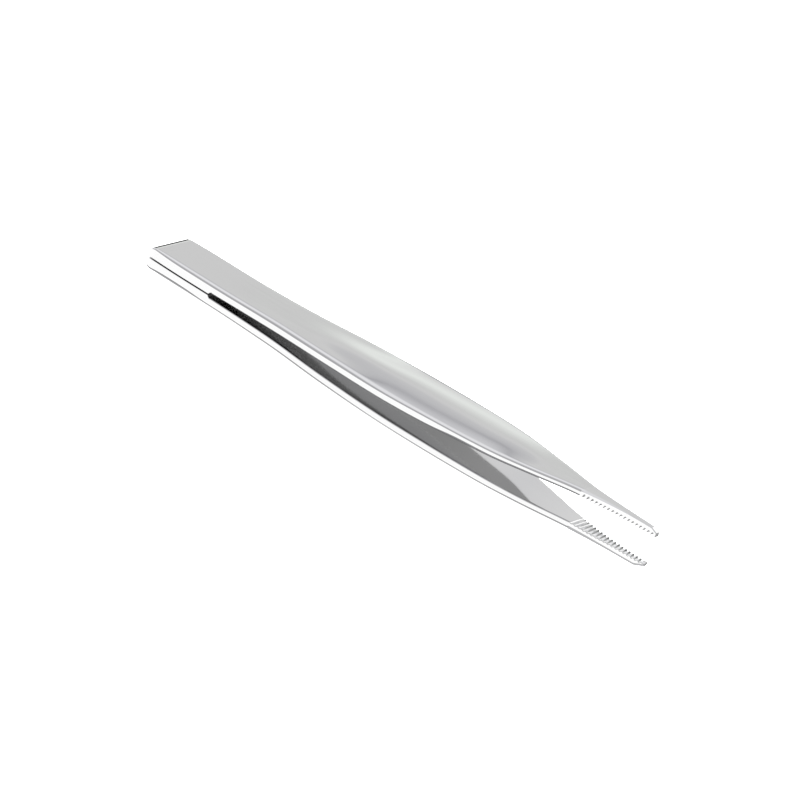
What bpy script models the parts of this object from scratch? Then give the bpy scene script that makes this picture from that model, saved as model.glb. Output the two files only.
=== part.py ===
"""Slant tweezers with serrated jaws: two spring-steel arms, spot-welded face to face at the tail.

Units are metres. +X runs from the tail to the tips and +Z from the lower arm to the upper one.
The origin is the middle of the whole tool, on the plane that the two arms mirror each other in.
Along the arm, every station is a distance from the tail end.

Each arm is one strip on the real tool. Here it is divided where it bends, into a tail and a blade,
so that the blade can turn about the middle of its bending zone.
"""

import math

import bmesh
import bpy
import numpy as np
from mathutils import Matrix, Vector

MM = 0.001

# Driving dimensions.
LENGTH = 95.0 * MM
TAIL_HALF_WIDTH = 4.75 * MM
GRIP_HALF_WIDTH = 7.25 * MM
TIP_HALF_WIDTH = 0.48 * MM
TAIL_OUTER = 1.8 * MM  # height of the outer face above the parting plane
JAW_OUTER = 3.46 * MM
JAW_OPENING = 2.29 * MM  # height of an open tip's inner face above the parting plane
SEAM_GAP = 0.2 * MM
WELD_LENGTH = 12.3 * MM  # the tails lie face to face as far as the slot root
RELIEF_DEPTH = 0.28 * MM  # the slot starts with a step of this height, rounded by the cutter

# Bending zone.
FLEX_STATION = 26.6 * MM
FLEX_GAP = 0.3 * MM

# Jaw serration.
NOTCH_COUNT = 18
NOTCH_PITCH = 0.71 * MM
NOTCH_WIDTH = 0.53 * MM
NOTCH_DEPTH = 0.45 * MM
FIRST_NOTCH = 82.4 * MM

# Edges.
EDGE_RADIUS = 0.25 * MM
JAW_EDGE_RADIUS = 0.12 * MM
TAIL_CHAMFER = 0.15 * MM
TIP_BEVEL_LENGTH = 1.3 * MM
TIP_BEVEL_DEPTH = 0.65 * MM
CROWN_HEIGHT = 0.1 * MM  # low enough for the tool to lie on its tail and jaws

# Spot welds.
WELD_STATIONS = {"weld_rear": 3.6 * MM, "weld_front": 8.4 * MM}
WELD_RADIUS = 1.8 * MM
WELD_HALF_HEIGHT = 0.5 * MM
WELD_CLEARANCE = 0.3 * MM

# The outline seen from above, the outer face and the inner face: (station, size) of each shape point.
OUTLINE = (
    (0.0, TAIL_HALF_WIDTH),
    (6.0 * MM, 5.05 * MM),
    (12.5 * MM, 5.15 * MM),
    (24.0 * MM, 5.52 * MM),
    (36.0 * MM, 6.6 * MM),
    (48.0 * MM, GRIP_HALF_WIDTH),
    (57.0 * MM, 6.85 * MM),
    (66.5 * MM, 5.95 * MM),
    (74.0 * MM, 4.25 * MM),
    (81.0 * MM, 2.15 * MM),
    (85.5 * MM, 1.3 * MM),
    (90.2 * MM, 0.74 * MM),
    (LENGTH, TIP_HALF_WIDTH),
)
OUTER_FACE = (
    (0.0, TAIL_OUTER),
    (12.5 * MM, TAIL_OUTER),
    (24.0 * MM, 1.99 * MM),
    (47.5 * MM, 2.53 * MM),
    (66.5 * MM, 2.95 * MM),
    (74.0 * MM, 3.17 * MM),
    (81.0 * MM, 3.39 * MM),
    (90.2 * MM, JAW_OUTER),
    (LENGTH, 3.4 * MM),
)
INNER_FACE = (
    (WELD_LENGTH, SEAM_GAP / 2 + RELIEF_DEPTH),
    (24.0 * MM, 0.6 * MM),
    (47.5 * MM, 1.17 * MM),
    (66.5 * MM, 1.65 * MM),
    (74.0 * MM, 2.02 * MM),
    (81.0 * MM, 2.22 * MM),
    (LENGTH, JAW_OPENING),
)
CROWN = (
    (0.0, 0.0),
    (33.0 * MM, 0.0),
    (48.0 * MM, CROWN_HEIGHT),
    (60.0 * MM, CROWN_HEIGHT),
    (72.0 * MM, 0.0),
    (LENGTH, 0.0),
)

CROWN_STEPS = 6
STATION_STEP = 2.4 * MM
STEEL_COLOUR = (0.6, 0.6, 0.59, 1.0)
WELD_COLOUR = (0.42, 0.42, 0.44, 1.0)


def smooth_between(shape_points, station):
    """Height of the curve through the shape points. It never overshoots between two of them."""
    x = np.array([point[0] for point in shape_points])
    y = np.array([point[1] for point in shape_points])
    step = np.diff(x)
    rise = np.diff(y) / step
    slope = np.zeros(len(x))
    same_way = rise[:-1] * rise[1:] > 0
    product = rise[:-1][same_way] * rise[1:][same_way]
    slope[1:-1][same_way] = 2 * product / (rise[:-1] + rise[1:])[same_way]
    slope[0] = rise[0]
    slope[-1] = rise[-1]
    k = int(np.clip(np.searchsorted(x, station) - 1, 0, len(x) - 2))
    t = min(max((station - x[k]) / step[k], 0.0), 1.0)
    ends = (1 + 2 * t) * (1 - t) ** 2 * y[k] + t * t * (3 - 2 * t) * y[k + 1]
    slopes = t * (1 - t) ** 2 * slope[k] - t * t * (1 - t) * slope[k + 1]
    return float(ends + step[k] * slopes)


def half_width(station):
    chamfer = max(TAIL_CHAMFER - station, 0.0)
    return smooth_between(OUTLINE, station) - chamfer


def outer_height(station):
    tail_chamfer = max(TAIL_CHAMFER - station, 0.0)
    along_bevel = max(station - (LENGTH - TIP_BEVEL_LENGTH), 0.0) / TIP_BEVEL_LENGTH
    return smooth_between(OUTER_FACE, station) - tail_chamfer - TIP_BEVEL_DEPTH * along_bevel


def inner_height(station):
    """The parting face along the weld, then a quarter round up to the relieved inner face."""
    if station <= WELD_LENGTH:
        return SEAM_GAP / 2
    relieved = smooth_between(INNER_FACE, station)
    along = (station - WELD_LENGTH) / RELIEF_DEPTH
    if along >= 1:
        return relieved
    drop = RELIEF_DEPTH * (1 - math.sqrt(1 - (1 - along) ** 2))
    return relieved - drop


def edge_radius(station):
    return EDGE_RADIUS if station < FIRST_NOTCH - NOTCH_PITCH else JAW_EDGE_RADIUS


def section(station):
    """The arm's closed cross-section as (y, z) points: crowned outer face, rounded edges, flat inner face."""
    width = half_width(station)
    outer = outer_height(station)
    inner = inner_height(station)
    radius = edge_radius(station)
    crown = smooth_between(CROWN, station)
    turn = radius * math.sin(math.pi / 4)
    points = []
    for t in np.linspace(-1, 1, CROWN_STEPS + 1):
        points.append((t * (width - radius), outer + crown * (1 - t * t)))
    points.append((width - radius + turn, outer - radius + turn))
    points.append((width, outer - radius))
    points.append((width, inner))
    points.append((-width, inner))
    points.append((-width, outer - radius))
    points.append((-width + radius - turn, outer - radius + turn))
    return points


def stations_between(start, end):
    """The stations of an arm's sections: one at each change of shape, and more on the long curves."""
    relief = [WELD_LENGTH + RELIEF_DEPTH * (1 - math.cos(a)) for a in np.radians([0, 25, 45, 65, 90])]
    heel = FIRST_NOTCH - NOTCH_PITCH
    marks = [start, end, TAIL_CHAMFER, heel - EDGE_RADIUS, heel, LENGTH - TIP_BEVEL_LENGTH, *relief]
    marks = sorted(mark for mark in set(marks) if start <= mark <= end)
    stations = []
    for low, high in zip(marks, marks[1:]):
        pieces = max(1, round((high - low) / STATION_STEP))
        stations.extend(np.linspace(low, high, pieces, endpoint=False))
    return [*stations, end]


def material(name, colour, roughness):
    made = bpy.data.materials.new(name)
    made.use_nodes = True
    shader = made.node_tree.nodes["Principled BSDF"]
    shader.inputs["Base Color"].default_value = colour
    shader.inputs["Metallic"].default_value = 1.0
    shader.inputs["Roughness"].default_value = roughness
    made.diffuse_color = colour
    return made


def new_object(name, mesh_builder, collection, surface=None, origin=Vector()):
    """Turns a bmesh in world coordinates into an object whose origin is at the given point."""
    mesh_builder.transform(Matrix.Translation(-origin))
    bmesh.ops.recalc_face_normals(mesh_builder, faces=mesh_builder.faces)
    mesh = bpy.data.meshes.new(name)
    mesh_builder.to_mesh(mesh)
    mesh_builder.free()
    made = bpy.data.objects.new(name, mesh)
    made.location = origin
    collection.objects.link(made)
    if surface:
        mesh.materials.append(surface)
        mesh.shade_smooth()
        mesh.set_sharp_from_angle(angle=math.radians(25))
    else:
        made.hide_render = True
        made.display_type = "WIRE"
    return made


def loft_arm(side, start, end):
    """A closed loft through the arm's sections. side is 1 for the upper arm and -1 for the lower one."""
    loft = bmesh.new()
    rings = []
    for station in stations_between(start, end):
        x = station - LENGTH / 2
        rings.append([loft.verts.new((x, y, side * z)) for y, z in section(station)])
    count = len(rings[0])
    for ring, following in zip(rings, rings[1:]):
        for k in range(count):
            after = (k + 1) % count
            loft.faces.new((ring[k], ring[after], following[after], following[k]))
    loft.faces.new(rings[0])
    loft.faces.new(rings[-1])
    return loft


def flex_pivot(side):
    """The middle of the arm's thickness at its bending zone."""
    middle = (outer_height(FLEX_STATION) + inner_height(FLEX_STATION)) / 2
    return Vector((FLEX_STATION - LENGTH / 2, 0, side * middle))


def cut(body, cutter):
    boolean = body.modifiers.new("Cut", "BOOLEAN")
    boolean.operation = "DIFFERENCE"
    boolean.solver = "EXACT"
    boolean.object = cutter


def weld_pocket_cutter(cutters):
    """A round recess around each spot weld. One cutter serves both tails."""
    drums = bmesh.new()
    for station in WELD_STATIONS.values():
        bmesh.ops.create_cone(
            drums,
            cap_ends=True,
            segments=24,
            radius1=WELD_RADIUS + WELD_CLEARANCE,
            radius2=WELD_RADIUS + WELD_CLEARANCE,
            depth=2 * (WELD_HALF_HEIGHT + WELD_CLEARANCE),
            matrix=Matrix.Translation((station - LENGTH / 2, 0, 0)),
        )
    return new_object("weld_pocket_cutter", drums, cutters)


def serration_cutter(name, side, cutters):
    """A row of bars with a diamond section across the jaw. The lower arm's row is half a pitch back."""
    shift = 0 if side > 0 else -NOTCH_PITCH / 2
    bars = bmesh.new()
    for k in range(NOTCH_COUNT):
        station = FIRST_NOTCH + shift + k * NOTCH_PITCH
        centre = Vector((station - LENGTH / 2, 0, side * inner_height(station)))
        size = Matrix.Diagonal((NOTCH_WIDTH, 4 * TAIL_HALF_WIDTH, 2 * NOTCH_DEPTH, 1))
        turn = Matrix.Rotation(math.pi / 4, 4, "Y")
        unit_diagonal = Matrix.Scale(math.sqrt(0.5), 4)
        matrix = Matrix.Translation(centre) @ size @ unit_diagonal @ turn
        bmesh.ops.create_cube(bars, size=1.0, matrix=matrix)
    return new_object(name, bars, cutters)


def arm_tail(name, side, pocket, parts):
    surface = material(name + " steel", STEEL_COLOUR, 0.2)
    tail = new_object(name, loft_arm(side, 0.0, FLEX_STATION - FLEX_GAP / 2), parts, surface)
    cut(tail, pocket)
    return tail


def arm_blade(name, side, cutters, parts):
    surface = material(name + " steel", STEEL_COLOUR, 0.2)
    loft = loft_arm(side, FLEX_STATION + FLEX_GAP / 2, LENGTH)
    blade = new_object(name, loft, parts, surface, flex_pivot(side))
    cut(blade, serration_cutter(name + "_serration_cutter", side, cutters))
    return blade


def spot_weld(name, station, parts):
    """A lens-shaped nugget across the seam."""
    nugget = bmesh.new()
    lens = Matrix.Diagonal((WELD_RADIUS, WELD_RADIUS, WELD_HALF_HEIGHT, 1))
    bmesh.ops.create_uvsphere(nugget, u_segments=20, v_segments=10, radius=1.0, matrix=lens)
    centre = Vector((station - LENGTH / 2, 0, 0))
    nugget.transform(Matrix.Translation(centre))
    return new_object(name, nugget, parts, material(name + " metal", WELD_COLOUR, 0.4), centre)


def main():
    for existing in list(bpy.data.objects):
        bpy.data.objects.remove(existing)
    parts = bpy.data.collections.new("Slant tweezers")
    cutters = bpy.data.collections.new("Cutters")
    bpy.context.scene.collection.children.link(parts)
    bpy.context.scene.collection.children.link(cutters)
    cutters.hide_render = True
    pocket = weld_pocket_cutter(cutters)
    for prefix, side in (("upper", 1), ("lower", -1)):
        arm_tail(prefix + "_arm_tail", side, pocket, parts)
        arm_blade(prefix + "_arm_blade", side, cutters, parts)
    for name, station in WELD_STATIONS.items():
        spot_weld(name, station, parts)


main()
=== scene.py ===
"""Looks of the slant tweezers: two continuous brushed-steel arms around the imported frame, in a studio.

A station along an arm is a distance from the tail's end. A side is 1 for the upper arm, -1 for the lower.
"""

import math

import bmesh
import bpy
import numpy as np
from mathutils import Matrix, Vector


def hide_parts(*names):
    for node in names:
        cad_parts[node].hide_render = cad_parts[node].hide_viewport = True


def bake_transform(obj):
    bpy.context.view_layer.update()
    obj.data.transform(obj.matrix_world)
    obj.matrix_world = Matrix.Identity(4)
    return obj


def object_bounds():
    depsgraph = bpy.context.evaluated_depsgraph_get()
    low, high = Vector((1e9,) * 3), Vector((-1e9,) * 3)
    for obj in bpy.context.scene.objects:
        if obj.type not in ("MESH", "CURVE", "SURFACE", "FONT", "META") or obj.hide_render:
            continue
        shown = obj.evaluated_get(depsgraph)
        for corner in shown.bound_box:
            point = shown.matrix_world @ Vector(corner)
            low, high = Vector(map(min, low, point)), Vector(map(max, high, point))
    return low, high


MM = 0.001
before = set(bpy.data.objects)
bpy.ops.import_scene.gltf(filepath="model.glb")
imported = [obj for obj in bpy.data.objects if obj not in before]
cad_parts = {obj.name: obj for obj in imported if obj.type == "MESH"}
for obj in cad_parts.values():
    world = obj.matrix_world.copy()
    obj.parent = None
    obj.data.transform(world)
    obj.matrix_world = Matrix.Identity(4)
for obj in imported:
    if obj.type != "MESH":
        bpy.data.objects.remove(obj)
CAD_LOW, CAD_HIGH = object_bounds()

# ---------------------------------------------------------------- sizes, from the frame
TAIL_X = CAD_LOW.x
LENGTH = CAD_HIGH.x - CAD_LOW.x

# ---------------------------------------------------------------- details finer than the CAD solids
SEAM_GAP = 0.19 * MM
SEAM_EDGE = 0.06 * MM  # radius of the edges along the seam
SLOT_ROOT = 12.3 * MM
SLOT_STEP = 0.45 * MM  # length of the rounded step at the slot's root
DRILL_STATION = 12.75 * MM  # the small hole that ends the slot
DRILL_RADIUS = 0.3 * MM
DRILL_HEIGHT = 0.14 * MM
TAIL_END_LENGTH, TAIL_END_DEPTH = 0.6 * MM, 0.2 * MM  # the chamfer of the tail's end
TAIL_SIDE_SHARE = 0.2  # of that depth, on the sides of the outline
CROWN_HEIGHT = 0.4 * MM
EDGE_HIGH_LIMIT = 0.45  # of the arm's thickness
TIP_BEVELS = {1: (1.0 * MM, 0.42 * MM), -1: (1.7 * MM, 0.62 * MM)}  # length and depth

NOTCH_COUNT = 18
NOTCH_PITCH = 0.71 * MM
NOTCH_WIDTH = 0.5 * MM
NOTCH_DEPTHS = {1: 0.54 * MM, -1: 0.36 * MM}
FIRST_NOTCH = 82.4 * MM
FULL_DEPTH_NOTCH = 4  # the depth runs in evenly over the notches before this one
RUN_IN_DEPTHS = {1: 1.25, -1: 0.4}  # share of the full depth at the first notch
JAW_HEEL = FIRST_NOTCH - NOTCH_PITCH
JAW_INNER_EDGE = 0.08 * MM
JAW_BEVEL_SLOPES = {1: 0.0, -1: 0.27}  # the lower jaw's inner face slopes away towards the -Y side
JAW_BEVEL_START = 0.15  # share of the half width
JAW_BEVEL_RAMP = 5 * MM  # the slope grows from the heel over this length
# Hand-ground facets along each jaw, (width, height) at the heel and at the tip. The lower are steeper.
JAW_FACETS = {
    1: ((0.5 * MM, 0.29 * MM), (0.18 * MM, 0.11 * MM)),
    -1: ((0.32 * MM, 0.58 * MM), (0.2 * MM, 0.36 * MM)),
}
FACET_END = 90 * MM

# Shape points are (station, size), in millimetres or, where it says so, with shares as sizes.
# Half the width.
OUTLINE = (
    (0.0, 4.8), (6.0, 5.12), (12.5, 5.22), (24.0, 5.52), (36.0, 6.6), (48.0, 7.25), (57.0, 6.85),
    (66.5, 5.95), (74.0, 4.25), (81.0, 2.15), (85.5, 1.3), (90.2, 0.74), (95.0, 0.54),
)
# Heights above the plane between the arms. The crown comes on top of the outer face.
OUTER_FACE = (
    (0.0, 1.8), (12.5, 1.8), (24.0, 2.03), (35.5, 2.35), (47.5, 2.57),
    (66.5, 2.95), (74.0, 3.17), (81.0, 3.39), (90.2, 3.46), (95.0, 3.4),
)
INNER_FACE = (
    (12.3, 0.38), (24.0, 0.6), (35.5, 0.94), (47.5, 1.17),
    (66.5, 1.65), (74.0, 2.0), (81.0, 2.18), (95.0, 2.24),
)
# Radii of the inner edges between the slot and the jaws.
UPPER_INNER_EDGE = ((12.0, 0.15), (52.0, 0.17), (57.0, 0.25), (61.0, 0.6), (68.0, 0.52), (82.0, 0.46))
LOWER_INNER_EDGE = ((12.0, 0.15), (82.0, 0.15))
# The outer corners behind the jaws are part-ellipses, wider than they are high on most of the arm.
OUTER_EDGE_WIDE = ((0.0, 0.35), (4.5, 0.82), (20.0, 0.95), (45.0, 1.0), (58.0, 0.75), (82.0, 0.75))
UPPER_EDGE_HIGH = (
    (0.0, 0.22), (4.5, 0.42), (20.0, 0.47), (31.0, 0.54), (45.0, 0.49), (58.0, 0.38), (82.0, 0.4),
)
LOWER_EDGE_HIGH = (
    (0.0, 0.35), (3.0, 0.65), (7.5, 0.68), (12.0, 0.44), (20.0, 0.47),
    (31.0, 0.54), (45.0, 0.49), (58.0, 0.46), (82.0, 0.5),
)
# Share of that size which the outer corners on the +Y side have.
FAR_EDGE_SHARE = ((0.0, 0.15), (4.0, 0.25), (8.0, 0.5), (22.0, 1.0), (82.0, 1.0))
# Share of the crown's full height, and the share of it by which the crown falls towards the +Y side.
CROWN = (
    (0.0, 0.0), (26.0, 0.0), (31.0, 0.12), (40.0, 0.6), (47.0, 1.0), (66.0, 1.0), (74.0, 0.0), (95.0, 0.0),
)
FAR_FALL = (
    (0.0, 1.0), (47.0, 1.0), (53.0, 0.9), (58.0, 0.73),
    (62.0, 0.6), (68.0, 0.65), (72.0, 0.85), (95.0, 0.85),
)
# 0 is a narrow ridge in the middle, 1 is a crown over the full width.
CROWN_SPREAD = ((0.0, 0.0), (35.0, 0.0), (47.0, 1.0), (66.0, 1.0), (74.0, 0.5))

# ---------------------------------------------------------------- where the finish and the painted shade change
DULL_AND_SHADE_LENGTH = 18 * MM  # the inner faces are unpolished, with painted shade in a darker grey, at the slot's root, and polished without it this far from it
LAND_DULLNESS_AND_SHADE = 0.5  # share for the lands between the notches, where the notches' unpolished finish and painted shade are 1
DULL_AND_SHADE_NOTCH_SHARE = 0.5  # share of the full notch depth from which a notch is fully unpolished and fully darkened by painted shade
GROUND_START = 54 * MM  # the inner faces are ground across from here to the tips
GROUND_RAMP = 12 * MM
JAW_OUTSIDE_GRINDING = 0.3

# ---------------------------------------------------------------- fineness of the meshes
RING_SPACING = 0.4 * MM
RING_GAP = 0.03 * MM  # between the rings on either side of a sudden change
SHORTEST_PIECE = 0.001 * MM
SLOT_RINGS = 7
NOTCH_RINGS = 9
CROWN_POINTS = 15
OUTER_CORNER_POINTS = 13
SIDE_POINTS = 6
INNER_CORNER_POINTS = 8
INNER_FACE_POINTS = 11
SHARP_ANGLE = math.radians(24)


class SmoothCurve:
    """A monotone cubic through shape points, then softened so that its curvature has no steps."""

    SAMPLES = 3001
    MARGIN = 5  # how far the curve goes on straight beyond its ends, and how far the softening reaches,
    REACH = 4  # both as multiples of the softness

    def __init__(self, points, unit=MM, softness=1.2 * MM):
        x = np.array([point[0] for point in points]) * MM
        y = np.array([point[1] for point in points]) * unit
        step = np.diff(x)
        rise = np.diff(y) / step
        slope = np.zeros(len(x))
        same = rise[:-1] * rise[1:] > 0
        slope[1:-1][same] = 2 * (rise[:-1] * rise[1:])[same] / (rise[:-1] + rise[1:])[same]
        slope[0] = rise[0]
        slope[-1] = rise[-1]
        margin = self.MARGIN * softness
        self.x = np.linspace(x[0] - margin, x[-1] + margin, self.SAMPLES)
        at = np.clip(self.x, x[0], x[-1])
        piece = np.clip(np.searchsorted(x, at) - 1, 0, len(x) - 2)
        along = (at - x[piece]) / step[piece]
        ends = (1 + 2 * along) * (1 - along) ** 2 * y[piece]
        ends += along * along * (3 - 2 * along) * y[piece + 1]
        slopes = along * (1 - along) ** 2 * slope[piece] - along * along * (1 - along) * slope[piece + 1]
        value = ends + step[piece] * slopes
        value += np.minimum(self.x - x[0], 0) * slope[0] + np.maximum(self.x - x[-1], 0) * slope[-1]
        spacing = self.x[1] - self.x[0]
        reach = int(self.REACH * softness / spacing)
        kernel = np.exp(-0.5 * (np.arange(-reach, reach + 1) * spacing / softness) ** 2)
        padded = np.pad(value, reach, mode="reflect", reflect_type="odd")
        self.y = np.convolve(padded, kernel / kernel.sum(), mode="valid")

    def __call__(self, station):
        return float(np.interp(station, self.x, self.y))


outline = SmoothCurve(OUTLINE)
outer_face = SmoothCurve(OUTER_FACE)
inner_face = SmoothCurve(INNER_FACE)
inner_edges = {1: SmoothCurve(UPPER_INNER_EDGE), -1: SmoothCurve(LOWER_INNER_EDGE)}
edge_wide = SmoothCurve(OUTER_EDGE_WIDE)
edges_high = {1: SmoothCurve(UPPER_EDGE_HIGH), -1: SmoothCurve(LOWER_EDGE_HIGH)}
far_edge_share = SmoothCurve(FAR_EDGE_SHARE, unit=1.0)
crown = SmoothCurve(CROWN, unit=CROWN_HEIGHT, softness=2 * MM)
crown_spread = SmoothCurve(CROWN_SPREAD, unit=1.0, softness=2 * MM)
far_fall = SmoothCurve(FAR_FALL, unit=1.0, softness=2 * MM)


# ---------------------------------------------------------------- shape of an arm
def notches_of(side):
    """(station, depth) of each notch's middle. The lower row is half a pitch back, so the rows mesh."""
    shift = 0 if side > 0 else -NOTCH_PITCH / 2
    notches = []
    for k in range(NOTCH_COUNT):
        run_in = RUN_IN_DEPTHS[side] + (1 - RUN_IN_DEPTHS[side]) * min(k / FULL_DEPTH_NOTCH, 1.0)
        notches.append((FIRST_NOTCH + shift + k * NOTCH_PITCH, NOTCH_DEPTHS[side] * run_in))
    return notches


def notch_height(station, notches):
    """How far the round-bottomed notches rise above the inner face at this station."""
    height = 0.0
    for middle, depth in notches:
        across = (station - middle) / (0.5 * NOTCH_WIDTH)
        if abs(across) < 1:
            height = max(height, depth * math.sqrt(1 - across * across))
    return height


def inner_height(station):
    """Height of the inner face above the plane between the arms, without the notches."""
    if station <= SLOT_ROOT:
        return SEAM_GAP / 2
    base = inner_face(station)
    along = (station - SLOT_ROOT) / SLOT_STEP
    if along < 1:
        base -= (base - SEAM_GAP / 2) * (1 - math.sqrt(1 - (1 - along) ** 2))
    from_drill = station - DRILL_STATION
    if abs(from_drill) < DRILL_RADIUS:
        base = max(base, DRILL_HEIGHT + math.sqrt(DRILL_RADIUS ** 2 - from_drill ** 2))
    return base


def outer_height(station, side):
    bevel_length, bevel_depth = TIP_BEVELS[side]
    along_bevel = max(station - (LENGTH - bevel_length), 0.0) / bevel_length
    return outer_face(station) - bevel_depth * along_bevel


def arm_stations(side, notches):
    """Stations of the arm's rings: on every sudden change, closely round the notches, evenly elsewhere."""
    marks = {0.0, TAIL_END_LENGTH - RING_GAP, TAIL_END_LENGTH, JAW_HEEL, JAW_HEEL + RING_GAP}
    marks |= {LENGTH - TIP_BEVELS[side][0], LENGTH}
    for angle in np.linspace(0, math.pi / 2, SLOT_RINGS):
        marks.add(SLOT_ROOT + SLOT_STEP * (1 - math.cos(angle)))
        marks.add(DRILL_STATION + DRILL_RADIUS * math.cos(angle))
        marks.add(DRILL_STATION - DRILL_RADIUS * math.cos(angle))
    for middle, _ in notches:
        for angle in np.linspace(0, math.pi, NOTCH_RINGS):
            marks.add(middle - 0.5 * NOTCH_WIDTH * math.cos(angle))
    marks = sorted(mark for mark in marks if 0 <= mark <= LENGTH)
    stations = []
    for low, high in zip(marks, marks[1:]):
        if high - low < SHORTEST_PIECE:
            continue
        pieces = max(1, round((high - low) / RING_SPACING))
        stations.extend(np.linspace(low, high, pieces, endpoint=False))
    return [*stations, LENGTH]


def outer_corner(station, side, thickness, slope, edge_share):
    """The corner's points (across, down) as shares of its width and height, and its width and height."""
    if station > JAW_HEEL:
        left = max(FACET_END - station, 0.0) / (FACET_END - JAW_HEEL)
        wide, high = (tip + (heel - tip) * left for heel, tip in zip(*JAW_FACETS[side]))
        return [(share, share) for share in np.linspace(0, 1, OUTER_CORNER_POINTS)], wide, high
    wide = edge_share * edge_wide(station)
    high = edge_share * min(edges_high[side](station), EDGE_HIGH_LIMIT * thickness)
    # The elliptical corner starts with the crown's slope, so the two meet without a crease.
    share = slope * wide / high
    first = math.asin(share / (1 - share))
    points = []
    for angle in np.linspace(first, math.pi / 2, OUTER_CORNER_POINTS):
        across = (math.sin(angle) - math.sin(first)) / (1 - math.sin(first))
        points.append((across, 1 - math.cos(angle) / math.cos(first)))
    return points, wide, high


def inner_corner(station, side):
    """Radius of the rounded inner edge."""
    if station <= SLOT_ROOT:
        return SEAM_EDGE
    if station > JAW_HEEL:
        return JAW_INNER_EDGE
    opened = min((station - SLOT_ROOT) / SLOT_STEP, 1.0)
    return SEAM_EDGE + (inner_edges[side](station) - SEAM_EDGE) * opened


def finish_at(station, side, notch):
    """Wear of the outer face and the sides, the unpolished finish and painted shade inside, and grinding
    outside and inside.
    """
    wear = 1.0 if station < TAIL_END_LENGTH else 0.0
    dullness_and_shade = 0.0
    if station > JAW_HEEL:
        dullness_and_shade = max(LAND_DULLNESS_AND_SHADE, min(notch / (DULL_AND_SHADE_NOTCH_SHARE * NOTCH_DEPTHS[side]), 1.0))
    elif station > SLOT_ROOT:
        dullness_and_shade = max(0.0, 1 - (station - SLOT_ROOT) / DULL_AND_SHADE_LENGTH)
    ground_outside = JAW_OUTSIDE_GRINDING if station > JAW_HEEL else 0.0
    ground_inside = min(max((station - GROUND_START) / GROUND_RAMP, 0.0), 1.0)
    return wear, dullness_and_shade, ground_outside, ground_inside


def half_section(station, side, notches, edge_share, fall, bevel_slope):
    """Half an outline as (y, z, wear, dullness_and_shade, grinding), from the outer face's middle to the
    inner's.

    The outer corner is scaled by edge_share, the crown drops to this side by the share fall of its height,
    and a jaw's inner face slopes away to this side by bevel_slope.
    """
    end = max(TAIL_END_LENGTH - station, 0.0) / TAIL_END_LENGTH
    tuck = TAIL_END_DEPTH * end
    width = outline(station) - TAIL_SIDE_SHARE * tuck
    outer = outer_height(station, side) - tuck
    base = inner_height(station)
    notch = notch_height(station, notches)
    rise = crown(station)
    spread = crown_spread(station)
    slope = 2 * fall * rise * spread / (width - edge_wide(station)) if station <= JAW_HEEL else 0.0
    edge_top = outer + (1 - fall) * rise
    corner, wide, high = outer_corner(station, side, outer - base, slope, edge_share)
    flat_half = width - wide
    low = inner_corner(station, side)
    bevel_slope *= min(max(station - JAW_HEEL, 0.0) / JAW_BEVEL_RAMP, 1.0)
    inner = []
    for share in np.linspace(1, 0, INNER_FACE_POINTS):
        drop = bevel_slope * max(share - JAW_BEVEL_START, 0.0) * width
        inner.append(base + max(notch, drop))
    side_top, side_low = edge_top - high, inner[0] + low

    wear, dullness_and_shade, ground_outside, ground_inside = finish_at(station, side, notch)
    half = []
    for share in np.linspace(0, 1, CROWN_POINTS):
        falling = 1 - share * share
        crowned = spread * falling + (1 - spread) * falling ** 3
        half.append((share * flat_half, edge_top + fall * rise * crowned, wear, 0.0, ground_outside))
    for across, down in corner[1:]:
        half.append((flat_half + wide * across, edge_top - high * down, 1.0, 0.0, ground_outside))
    for share in np.linspace(0, 1, SIDE_POINTS)[1:]:
        half.append((width, side_top + (side_low - side_top) * share, wear, 0.0, ground_outside))
    for angle in np.linspace(0, math.pi / 2, INNER_CORNER_POINTS)[1:]:
        across, up = low * (1 - math.cos(angle)), low * (1 - math.sin(angle))
        half.append((width - across, inner[0] + up, 1.0, dullness_and_shade, ground_outside))
    for share, height in zip(np.linspace(0, 1, INNER_FACE_POINTS)[1:], inner[1:]):
        half.append(((1 - share) * (width - low), height, 0.0, dullness_and_shade, ground_inside))
    return half


def section(station, side, notches):
    """Closed outline of the arm. The half on the +Y side comes first."""
    far = half_section(station, side, notches, far_edge_share(station), far_fall(station), 0.0)
    near = half_section(station, side, notches, 1.0, 1.0, JAW_BEVEL_SLOPES[side])
    return far + [(-y, *rest) for y, *rest in near[-2:0:-1]]


def build_arm(name, side):
    notches = notches_of(side)
    builder = bmesh.new()
    layers = [builder.verts.layers.float.new(finish) for finish in ("wear", "dull_and_shade", "ground")]
    rings = []
    for station in arm_stations(side, notches):
        ring = []
        for y, z, *amounts in section(station, side, notches):
            vertex = builder.verts.new((TAIL_X + station, y, side * z))
            for layer, amount in zip(layers, amounts):
                vertex[layer] = amount
            ring.append(vertex)
        rings.append(ring)
    count = len(rings[0])
    for ring, following in zip(rings, rings[1:]):
        for k in range(count):
            after = (k + 1) % count
            builder.faces.new((ring[k], ring[after], following[after], following[k]))
    builder.faces.new(rings[0])
    builder.faces.new(rings[-1])
    bmesh.ops.recalc_face_normals(builder, faces=builder.faces)
    mesh = bpy.data.meshes.new(name)
    builder.to_mesh(mesh)
    builder.free()
    mesh.shade_smooth()
    mesh.set_sharp_from_angle(angle=SHARP_ANGLE)
    arm = bpy.data.objects.new(name, mesh)
    bpy.context.scene.collection.objects.link(arm)
    return arm


# ---------------------------------------------------------------- materials
STEEL_GREY = 0.6
GROUND_GREY = 0.67
# Painted shade: the darker grey of the unpolished parts stands in for the shade in the gap at the slot's
# root and in the jaw notches.
RECESS_SHADE_GREY = 0.53
POLISHED_ROUGHNESS = 0.07
DULL_ROUGHNESS = 0.22
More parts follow.
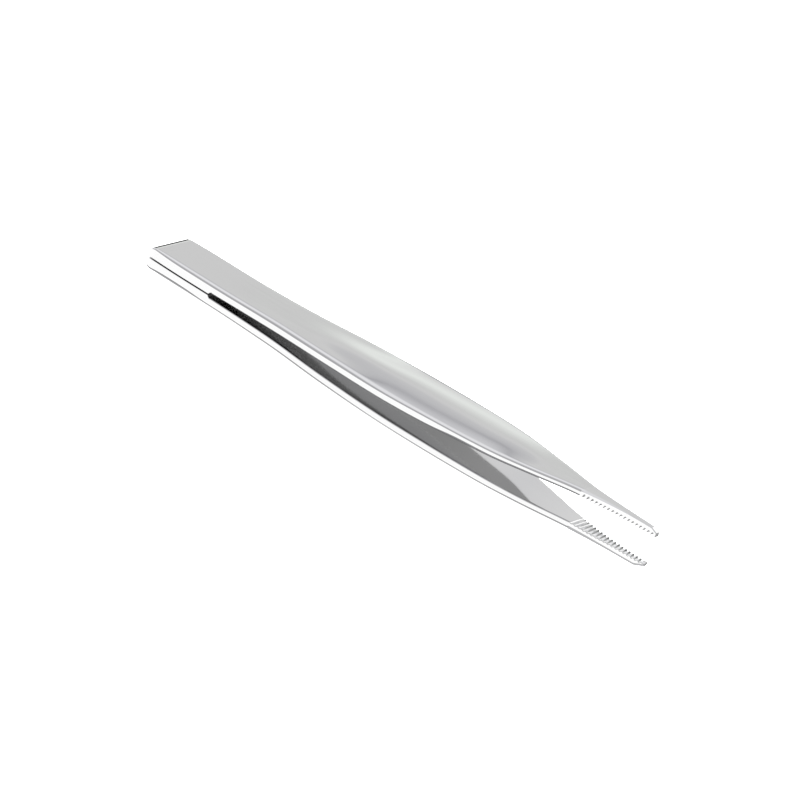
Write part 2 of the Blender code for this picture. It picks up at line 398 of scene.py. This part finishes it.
# Cells of each grain per millimetre along x, y and z.
BRUSHING_CELLS = (0.14, 4.5, 4.5)
SMEAR_CELLS = (0.03, 0.3, 0.3)
GRINDING_CELLS = (7.0, 0.5, 0.5)
CAST_CELLS = (3.0, 3.0, 3.0)
GRAIN_RANGE = (0.3, 0.7)  # the noise of a grain stays mostly between these
SMEAR_RANGE = (0.35, 0.65)
# What the grain, the smears and the wear of edges add to the roughness and to the grey.
GRAIN_ROUGHNESS = (-0.02, 0.03)
SMEAR_ROUGHNESS = (-0.015, 0.02)
WEAR_ROUGHNESS = -0.02
GRAIN_GREY = (-0.006, 0.006)
SMEAR_GREY = (-0.008, 0.008)
WEAR_GREY = 0.02
GRAIN_BUMP = 0.0011 * MM
CAST_ROUGHNESS = (0.35, 0.55)
CAST_BUMP = 0.02 * MM
CAST_BUMP_STRENGTH = 0.6
# Heat colours of a weld, by the distance from its middle as a share of its size.
HEAT_COLOURS = ((0.0, (0.42, 0.42, 0.44)), (0.3, (0.4, 0.36, 0.28)), (0.42, (0.24, 0.26, 0.36)))
HEAT_WANDER = (-0.04, 0.04)  # the grain shifts the colours by this much


class NodeTree:
    """Short forms for building a material's or a world's node tree."""

    def __init__(self, tree):
        self.nodes, self.links = tree.nodes, tree.links

    def add(self, kind, settings=None, **inputs):
        node = self.nodes.new(kind)
        for name, value in (settings or {}).items():
            setattr(node, name, value)
        for name, value in inputs.items():
            self.feed(node.inputs[name.replace("_", " ")], value)
        return node

    def feed(self, socket, value):
        if isinstance(value, bpy.types.NodeSocket):
            self.links.new(value, socket)
        else:
            socket.default_value = value

    def math(self, operation, *values):
        node = self.add("ShaderNodeMath", {"operation": operation})
        for socket, value in zip(node.inputs, values):
            self.feed(socket, value)
        return node.outputs[0]

    def remap(self, value, low, high, to_low=0.0, to_high=1.0, soft=False):
        node = self.add("ShaderNodeMapRange", {"interpolation_type": "SMOOTHSTEP" if soft else "LINEAR"})
        for name, setting in (("Value", value), ("From Min", low), ("From Max", high),
                              ("To Min", to_low), ("To Max", to_high)):
            self.feed(node.inputs[name], setting)
        return node.outputs["Result"]

    def grain(self, per_mm, detail=3.0):
        """Noise with so many cells per millimetre along x, y and z, from 0 to 1."""
        coordinates = self.add("ShaderNodeTexCoord").outputs["Object"]
        scale = Vector(per_mm) / MM
        place = self.add("ShaderNodeMapping", Vector=coordinates, Scale=scale).outputs[0]
        return self.add("ShaderNodeTexNoise", Vector=place, Scale=1.0, Detail=detail).outputs["Fac"]

    def attribute(self, name):
        return self.add("ShaderNodeAttribute", {"attribute_name": name}).outputs["Fac"]

    def grey(self, value):
        return self.add("ShaderNodeCombineColor", Red=value, Green=value, Blue=value).outputs[0]


def new_surface(name):
    made = bpy.data.materials.new(name)
    made.use_nodes = True
    tree = NodeTree(made.node_tree)
    shader = made.node_tree.nodes["Principled BSDF"]
    shader.inputs["Metallic"].default_value = 1.0
    return made, tree, shader


def arm_steel(name):
    """Stainless steel, brushed lengthwise and polished, ground across the jaws, bright on worn edges,
    unpolished and darker with painted shade at the slot's root and in the notches.
    """
    made, tree, shader = new_surface(name)
    brushing = tree.grain(BRUSHING_CELLS)
    smears = tree.grain(SMEAR_CELLS, detail=2.0)
    grinding = tree.grain(GRINDING_CELLS)
    wear = tree.attribute("wear")
    dull_and_shade = tree.attribute("dull_and_shade")
    ground = tree.attribute("ground")
    brushed = tree.math("MULTIPLY", brushing, tree.math("SUBTRACT", 1.0, ground))
    texture = tree.math("ADD", brushed, tree.math("MULTIPLY", grinding, ground))

    roughness = tree.math("ADD", POLISHED_ROUGHNESS, tree.remap(texture, *GRAIN_RANGE, *GRAIN_ROUGHNESS))
    roughness = tree.math("ADD", roughness, tree.remap(smears, *SMEAR_RANGE, *SMEAR_ROUGHNESS))
    changes = ((wear, WEAR_ROUGHNESS), (dull_and_shade, DULL_ROUGHNESS - POLISHED_ROUGHNESS))
    for cause, change in changes:
        roughness = tree.math("ADD", roughness, tree.math("MULTIPLY", cause, change))
    tree.feed(shader.inputs["Roughness"], roughness)

    grey = tree.math("ADD", STEEL_GREY, tree.remap(smears, *GRAIN_RANGE, *SMEAR_GREY))
    grey = tree.math("ADD", grey, tree.remap(texture, *GRAIN_RANGE, *GRAIN_GREY))
    # The unpolished parts also get a darker grey: painted shade in the slot's root and in the notches.
    changes = ((wear, WEAR_GREY), (ground, GROUND_GREY - STEEL_GREY), (dull_and_shade, RECESS_SHADE_GREY - STEEL_GREY))
    for cause, change in changes:
        grey = tree.math("ADD", grey, tree.math("MULTIPLY", cause, change))
    tree.feed(shader.inputs["Base Color"], tree.grey(grey))

    bump = tree.add("ShaderNodeBump", Height=texture, Strength=1.0, Distance=GRAIN_BUMP)
    tree.feed(shader.inputs["Normal"], bump.outputs[0])
    return made


def weld_metal(name):
    """A spot weld's nugget: matt cast grain with rings of heat colour round its rim."""
    made, tree, shader = new_surface(name)
    coordinates = tree.add("ShaderNodeTexCoord").outputs["Generated"]
    from_middle = tree.add("ShaderNodeVectorMath", {"operation": "DISTANCE"})
    tree.feed(from_middle.inputs[0], coordinates)
    tree.feed(from_middle.inputs[1], (0.5, 0.5, 0.5))
    cast = tree.grain(CAST_CELLS)
    place = tree.math("ADD", from_middle.outputs["Value"], tree.remap(cast, *GRAIN_RANGE, *HEAT_WANDER))
    heat = tree.add("ShaderNodeValToRGB", Fac=place)
    colour_by_place(heat.color_ramp, HEAT_COLOURS)
    tree.feed(shader.inputs["Base Color"], heat.outputs["Color"])
    tree.feed(shader.inputs["Roughness"], tree.remap(cast, *GRAIN_RANGE, *CAST_ROUGHNESS))
    bump = tree.add("ShaderNodeBump", Height=cast, Strength=CAST_BUMP_STRENGTH, Distance=CAST_BUMP)
    tree.feed(shader.inputs["Normal"], bump.outputs[0])
    return made


def colour_by_place(ramp, stops):
    """Sets a colour ramp's stops from (place from 0 to 1, colour) pairs."""
    while len(ramp.elements) > 1:
        ramp.elements.remove(ramp.elements[-1])
    for k, (place, colour) in enumerate(stops):
        element = ramp.elements[0] if k == 0 else ramp.elements.new(place)
        element.position = place
        element.color = (*colour, 1)


# ---------------------------------------------------------------- studio
VIEW_AZIMUTH = 27.07
VIEW_ELEVATION = 22.39
VIEW_ROLL = 20.56
VIEW_DISTANCE = 1055.6 * MM
VIEW_LENS = 313.29
VIEW_CENTRE = Vector((-0.383, -0.395, -0.431)) * MM
WORLD_SCALE = 2.0  # the strengths of the bands and of the key light are stored as shares of this one
KEY_LIGHT = 1.7
KEY_DIRECTION = (0.05, 0.82, 0.57)
KEY_EDGE = (0.93, 0.97)  # cosines of the angles from that direction between which the key light fades in
FLOOR_SIZE = 3
FLOOR_GREY = 0.9
FLOOR_ROUGHNESS = 0.9
FLOOR_GLOW = 0.93
LAMP_SIZE = 1.4
LAMP_POWER = 22
LAMP_PLACE = (0.1, -0.1, 1.2)
# Long strip softboxes beside the tool. Each band is an angle in degrees from the far horizon, up over the
# top and down to the near side, the strength of the light from there, and how blue and how green it is.
STUDIO_BANDS = (
    (-180, 0.5, 0.02, 0), (-175, 0.9, 0, 0), (-168, 1.65, 0, 0), (-143, 1.65, 0, 0), (-137, 0.25, 0.03, 0),
    (-116, 0.3, 0.03, 0), (-102, 0.72, 0.02, 0), (-86, 0.72, 0.02, 0), (-66, 0.3, 0.03, 0),
    (-38, 0.5, 0.01, 0), (-20, 0.55, 0, 0), (-13, 0.12, 0, 0), (3, 0.1, 0, 0),
    (9, 0.86, 0, 0), (13, 1.05, 0, 0.015), (17, 1.2, 0, 0.03), (20, 1.04, 0, 0.02), (22.5, 0.9, 0, 0.01),
    (23.6, 0.88, 0, 0), (25, 0.95, 0, 0), (27.5, 0.82, 0.02, 0), (31.5, 0.77, 0.03, 0),
    (33.8, 0.58, 0.05, 0), (35.8, 0.76, 0.04, 0), (38, 0.86, 0.04, 0), (43, 1.0, 0.03, 0),
    (50, 1.2, 0.03, 0), (84, 1.2, 0.03, 0), (92, 0.69, 0.03, 0), (178, 0.61, 0.03, 0),
)


def studio_world():
    """The strip softboxes, and a small key light beyond the tips that whitens the bevel at their end."""
    world = bpy.data.worlds.new("studio")
    bpy.context.scene.world = world
    world.use_nodes = True
    world.node_tree.nodes.clear()
    tree = NodeTree(world.node_tree)
    direction = tree.add("ShaderNodeTexCoord").outputs["Generated"]
    _, y, z = tree.add("ShaderNodeSeparateXYZ", Vector=direction).outputs
    turn = tree.remap(tree.math("ARCTAN2", z, y), -math.pi, math.pi)
    strips = tree.add("ShaderNodeValToRGB", Fac=turn)
    strips.color_ramp.interpolation = "EASE"
    stops = []
    for degrees, level, blue, green in STUDIO_BANDS:
        shade = level / WORLD_SCALE
        stops.append(((degrees + 180) / 360, (shade * (1 - green), shade, shade * (1 + blue - green))))
    colour_by_place(strips.color_ramp, stops)
    closeness = tree.add("ShaderNodeVectorMath", {"operation": "DOT_PRODUCT"})
    tree.feed(closeness.inputs[0], direction)
    tree.feed(closeness.inputs[1], KEY_DIRECTION)
    key = tree.add("ShaderNodeMix", {"data_type": "RGBA"})
    tree.feed(key.inputs["Factor"], tree.remap(closeness.outputs["Value"], *KEY_EDGE, soft=True))
    tree.feed(key.inputs["A"], strips.outputs["Color"])
    tree.feed(key.inputs["B"], (*[KEY_LIGHT / WORLD_SCALE] * 3, 1))
    background = tree.add("ShaderNodeBackground", Strength=WORLD_SCALE)
    tree.feed(background.inputs["Color"], key.outputs["Result"])
    tree.add("ShaderNodeOutputWorld", Surface=background.outputs[0])


def studio_floor():
    """A white floor under the tool, lit evenly from below so that it shows no shadow."""
    builder = bmesh.new()
    bmesh.ops.create_grid(builder, x_segments=1, y_segments=1, size=FLOOR_SIZE)
    mesh = bpy.data.meshes.new("floor")
    builder.to_mesh(mesh)
    builder.free()
    floor = bpy.data.objects.new("floor", mesh)
    bpy.context.scene.collection.objects.link(floor)
    floor.location.z = CAD_LOW.z
    surface = bpy.data.materials.new("white sweep")
    surface.use_nodes = True
    shader = surface.node_tree.nodes["Principled BSDF"]
    shader.inputs["Base Color"].default_value = (*[FLOOR_GREY] * 3, 1)
    shader.inputs["Roughness"].default_value = FLOOR_ROUGHNESS
    shader.inputs["Specular IOR Level"].default_value = 0.0
    shader.inputs["Emission Color"].default_value = (1, 1, 1, 1)
    shader.inputs["Emission Strength"].default_value = FLOOR_GLOW
    mesh.materials.append(surface)
    floor.visible_glossy = False


def studio_lamp():
    lamp = bpy.data.lights.new("overhead softbox", "AREA")
    lamp.shape = "DISK"
    lamp.size = LAMP_SIZE
    lamp.energy = LAMP_POWER
    made = bpy.data.objects.new("overhead softbox", lamp)
    made.location = LAMP_PLACE
    made.visible_glossy = False
    bpy.context.scene.collection.objects.link(made)


def studio_camera():
    azimuth, elevation = math.radians(VIEW_AZIMUTH), math.radians(VIEW_ELEVATION)
    back = Vector((
        math.sin(azimuth) * math.cos(elevation),
        -math.cos(azimuth) * math.cos(elevation),
        math.sin(elevation),
    ))
    up = (Vector((0, 0, 1)) - back.z * back).normalized()
    up.rotate(Matrix.Rotation(math.radians(VIEW_ROLL), 3, back))
    turn = Matrix((up.cross(back), up, back)).transposed().to_4x4()
    camera_data = bpy.data.cameras.new("camera")
    camera_data.lens = VIEW_LENS
    camera_data.clip_start = 0.01
    camera = bpy.data.objects.new("camera", camera_data)
    camera.matrix_world = Matrix.Translation(VIEW_CENTRE + back * VIEW_DISTANCE) @ turn
    bpy.context.scene.collection.objects.link(camera)
    bpy.context.scene.camera = camera


# ---------------------------------------------------------------- the object
def arms():
    for prefix, side in (("upper", 1), ("lower", -1)):
        arm = build_arm(prefix + "_arm", side)
        arm.data.materials.append(arm_steel(prefix + " arm steel"))
        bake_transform(arm)
        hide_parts(prefix + "_arm_tail", prefix + "_arm_blade")


def welds():
    for name in ("weld_front", "weld_rear"):
        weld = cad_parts[name]
        weld.data.materials.clear()
        weld.data.materials.append(weld_metal(name + " metal"))


arms()
welds()
studio_world()
studio_floor()
studio_lamp()
studio_camera()
bpy.context.scene.view_settings.view_transform = "Standard"
